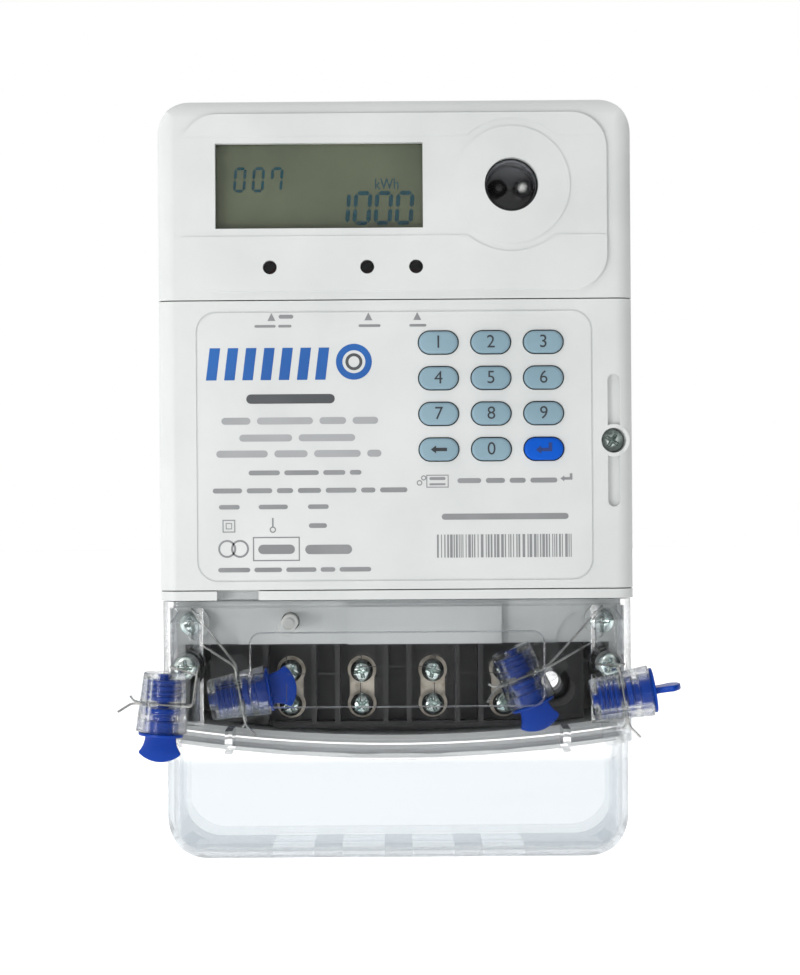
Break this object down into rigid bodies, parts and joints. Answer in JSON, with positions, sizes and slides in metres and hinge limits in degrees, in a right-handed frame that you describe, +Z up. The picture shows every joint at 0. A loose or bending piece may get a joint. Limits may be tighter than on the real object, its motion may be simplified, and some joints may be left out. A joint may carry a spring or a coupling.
{
  "type": "prepayment electricity meter",
  "caption": "Wall-mounted prepayment electricity meter with display, keypad door, optical port, screw terminals, clear terminal cover and twist seals.",
  "frame": {"origin": "on the flat rear face, on the centre line, near half the height of the case and its terminal cover", "axes": "+Z up, +Y into the wall, so the front looks along -Y, and +X to the right seen from the front"},
  "size_m": [0.1523, 0.0804, 0.2047],
  "materials": {
    "housing_rear": "fine textured moulding",
    "housing_front": "satin moulding",
    "gasket_foam": "foam",
    "hinge_steel": "drawn wire",
    "zinc_screws": "zinc plated",
    "window_clear": "clear acrylic",
    "lcd_panel": "display glass",
    "holder_white": "moulded",
    "port_filter": "infrared filter",
    "keeper_steel": "stamped",
    "sensor_black": "epoxy",
    "pipe_red": "clear acrylic",
    "led_epoxy": "epoxy",
    "board_green": "solder mask",
    "mat_silicone": "silicone",
    "key_grey": "silicone",
    "key_blue": "silicone",
    "component_black": "moulding compound",
    "transformer_core": "varnished laminations",
    "capacitor_sleeve": "sleeved can",
    "battery_can": "nickel plated",
    "relay_case": "moulded",
    "toroid_case": "cast resin",
    "copper_bar": "rolled copper",
    "block_black": "filled phenolic",
    "cage_nickel": "nickel plated",
    "plunger_white": "acetal",
    "cover_clear": "clear polycarbonate",
    "seal_clear": "clear polycarbonate",
    "seal_blue": "moulded",
    "seal_wire": "stranded steel"
  },
  "bodies": {
    "case": {"rear_housing": "housing_rear", "main_cover": "housing_front", "cover_gasket": "gasket_foam", "door_hinge_pins": "hinge_steel", "lcd_window": "window_clear", "lcd_glass": "lcd_panel", "lcd_holder": "holder_white", "port_lens": "port_filter", "port_keeper_ring": "keeper_steel", "optical_pair": "sensor_black", "led_pipes": "pipe_red", "status_leds": "led_epoxy", "main_board": "board_green", "board_screws": "zinc_screws", "contact_block": "component_black", "processor_chips": "component_black", "supply_transformer": "transformer_core", "smoothing_capacitors": "capacitor_sleeve", "backup_battery": "battery_can", "buzzer": "component_black", "relay": "relay_case", "current_transformer": "toroid_case", "live_bars": "copper_bar", "neutral_bar": "copper_bar", "terminal_block": "block_black", "terminal_cages": "cage_nickel", "terminal_screws": "zinc_screws", "tamper_switch": "component_black", "main_cover_screws": "zinc_screws", "seal_body_inner_left": "seal_clear", "seal_wire_inner_left": "seal_wire", "seal_body_inner_right": "seal_clear", "seal_wire_inner_right": "seal_wire"},
    "door": {"door": "housing_front", "door_screw": "zinc_screws", "keypad_board": "board_green", "keypad_mat": "mat_silicone"},
    "terminal_cover": {"terminal_cover": "cover_clear", "terminal_cover_screws": "zinc_screws"},
    "tamper_plunger": {"tamper_plunger": "plunger_white"},
    "seal_outer_left": {"seal_body_outer_left": "seal_clear", "seal_wire_outer_left": "seal_wire"},
    "seal_outer_right": {"seal_body_outer_right": "seal_clear", "seal_wire_outer_right": "seal_wire"},
    "key_1": {"key_1": "key_grey"},
    "key_2": {"key_2": "key_grey"},
    "key_3": {"key_3": "key_grey"},
    "key_4": {"key_4": "key_grey"},
    "key_5": {"key_5": "key_grey"},
    "key_6": {"key_6": "key_grey"},
    "key_7": {"key_7": "key_grey"},
    "key_8": {"key_8": "key_grey"},
    "key_9": {"key_9": "key_grey"},
    "key_back": {"key_back": "key_grey"},
    "key_0": {"key_0": "key_grey"},
    "key_enter": {"key_enter": "key_blue"},
    "rotor_outer_left": {"seal_rotor_outer_left": "seal_blue"},
    "rotor_outer_right": {"seal_rotor_outer_right": "seal_blue"},
    "rotor_inner_left": {"seal_rotor_inner_left": "seal_blue"},
    "rotor_inner_right": {"seal_rotor_inner_right": "seal_blue"}
  },
  "joints": [
    {"name": "door_hinge", "type": "hinge", "parent": "case", "child": "door", "pos_m": [-0.0601, -0.045, 0.01], "axis": [0, 0, -1], "range_deg": [0, 95]},
    {"name": "terminal_cover_lift", "type": "slide", "parent": "case", "child": "terminal_cover", "axis": [0, -1, 0], "range_m": [0, 0.06]},
    {"name": "tamper_plunger_rise", "type": "slide", "parent": "case", "child": "tamper_plunger", "axis": [0, -1, 0], "range_m": [0, 0.002]},
    {"name": "key_1_press", "type": "slide", "parent": "door", "child": "key_1", "axis": [0, 1, 0], "range_m": [0, 0.001], "stiffness_N_per_m": 250, "springref_m": -0.0002},
    {"name": "key_2_press", "type": "slide", "parent": "door", "child": "key_2", "axis": [0, 1, 0], "range_m": [0, 0.001], "stiffness_N_per_m": 250, "springref_m": -0.0002},
    {"name": "key_3_press", "type": "slide", "parent": "door", "child": "key_3", "axis": [0, 1, 0], "range_m": [0, 0.001], "stiffness_N_per_m": 250, "springref_m": -0.0002},
    {"name": "key_4_press", "type": "slide", "parent": "door", "child": "key_4", "axis": [0, 1, 0], "range_m": [0, 0.001], "stiffness_N_per_m": 250, "springref_m": -0.0002},
    {"name": "key_5_press", "type": "slide", "parent": "door", "child": "key_5", "axis": [0, 1, 0], "range_m": [0, 0.001], "stiffness_N_per_m": 250, "springref_m": -0.0002},
    {"name": "key_6_press", "type": "slide", "parent": "door", "child": "key_6", "axis": [0, 1, 0], "range_m": [0, 0.001], "stiffness_N_per_m": 250, "springref_m": -0.0002},
    {"name": "key_7_press", "type": "slide", "parent": "door", "child": "key_7", "axis": [0, 1, 0], "range_m": [0, 0.001], "stiffness_N_per_m": 250, "springref_m": -0.0002},
    {"name": "key_8_press", "type": "slide", "parent": "door", "child": "key_8", "axis": [0, 1, 0], "range_m": [0, 0.001], "stiffness_N_per_m": 250, "springref_m": -0.0002},
    {"name": "key_9_press", "type": "slide", "parent": "door", "child": "key_9", "axis": [0, 1, 0], "range_m": [0, 0.001], "stiffness_N_per_m": 250, "springref_m": -0.0002},
    {"name": "key_back_press", "type": "slide", "parent": "door", "child": "key_back", "axis": [0, 1, 0], "range_m": [0, 0.001], "stiffness_N_per_m": 250, "springref_m": -0.0002},
    {"name": "key_0_press", "type": "slide", "parent": "door", "child": "key_0", "axis": [0, 1, 0], "range_m": [0, 0.001], "stiffness_N_per_m": 250, "springref_m": -0.0002},
    {"name": "key_enter_press", "type": "slide", "parent": "door", "child": "key_enter", "axis": [0, 1, 0], "range_m": [0, 0.001], "stiffness_N_per_m": 250, "springref_m": -0.0002},
    {"name": "seal_outer_left_swing", "type": "hinge", "parent": "terminal_cover", "child": "seal_outer_left", "pos_m": [-0.0564, -0.0626, -0.0495], "axis": [-1, 0, 0], "range_deg": [0, 24]},
    {"name": "seal_outer_right_swing", "type": "hinge", "parent": "terminal_cover", "child": "seal_outer_right", "pos_m": [0.0564, -0.0626, -0.0495], "axis": [-1, 0, 0], "range_deg": [0, 24]},
    {"name": "seal_outer_left_twist", "type": "hinge", "parent": "seal_outer_left", "child": "rotor_outer_left", "pos_m": [-0.061, -0.0737, -0.0501], "axis": [-0.0698, 0, -0.9976], "continuous": true},
    {"name": "seal_outer_right_twist", "type": "hinge", "parent": "seal_outer_right", "child": "rotor_outer_right", "pos_m": [0.051, -0.0737, -0.0581], "axis": [0.9877, 0, 0.1564], "continuous": true},
    {"name": "seal_inner_left_twist", "type": "hinge", "parent": "case", "child": "rotor_inner_left", "pos_m": [-0.0504, -0.0548, -0.0589], "axis": [0.9848, 0, 0.1736], "continuous": true},
    {"name": "seal_inner_right_twist", "type": "hinge", "parent": "case", "child": "rotor_inner_right", "pos_m": [0.0304, -0.0548, -0.0456], "axis": [0.3746, 0, -0.9272], "continuous": true}
  ],
  "couplings": [
    {"joint": "tamper_plunger_rise", "follows": "terminal_cover_lift", "ratio": 0.033333}
  ]
}
